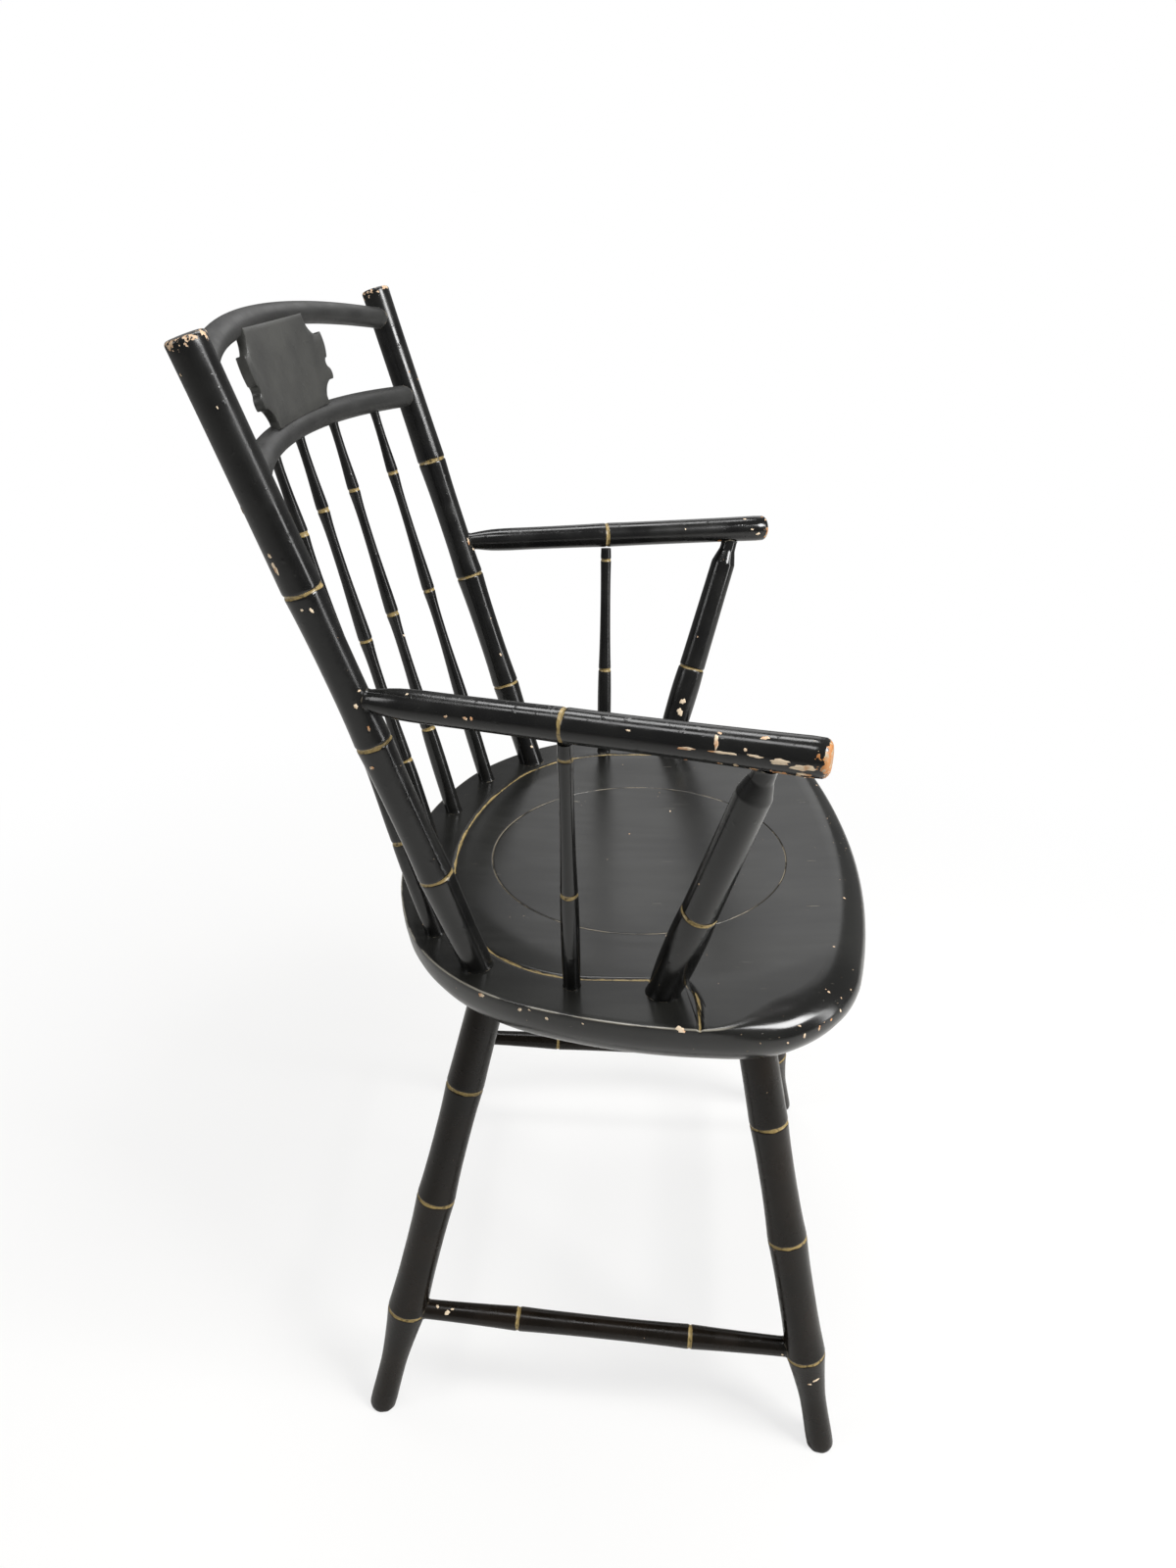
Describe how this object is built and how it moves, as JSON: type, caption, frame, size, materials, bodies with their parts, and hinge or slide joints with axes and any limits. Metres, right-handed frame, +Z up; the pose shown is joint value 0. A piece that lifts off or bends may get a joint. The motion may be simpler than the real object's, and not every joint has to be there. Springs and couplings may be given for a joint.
{
  "type": "rod-back windsor armchair",
  "caption": "Black-painted windsor armchair: saddled plank seat, bamboo-turned splayed legs and posts, bent top rods with a shaped tablet, slim turned spindles, box stretchers.",
  "frame": {"origin": "on the floor, under the middle of the chair's bounding box", "axes": "+Z up, -Y the way the sitter faces, -X to the sitter's right"},
  "size_m": [0.5556, 0.4848, 0.8873],
  "materials": {
    "black_paint": "worn semi-gloss black paint with ochre striping"
  },
  "bodies": {
    "root": {"seat": "black_paint", "seat_plug": "black_paint", "leg_front_right": "black_paint", "leg_front_left": "black_paint", "leg_back_right": "black_paint", "leg_back_left": "black_paint", "stretcher_right": "black_paint", "stretcher_left": "black_paint", "stretcher_front": "black_paint", "stretcher_back": "black_paint", "back_post_right": "black_paint", "back_post_left": "black_paint", "crest_rod": "black_paint", "lower_rod": "black_paint", "tablet": "black_paint", "back_spindle_1": "black_paint", "back_spindle_2": "black_paint", "back_spindle_3": "black_paint", "back_spindle_4": "black_paint", "back_spindle_5": "black_paint", "arm_right": "black_paint", "arm_left": "black_paint", "arm_post_right": "black_paint", "arm_post_left": "black_paint", "arm_spindle_right": "black_paint", "arm_spindle_left": "black_paint"}
  },
  "joints": []
}
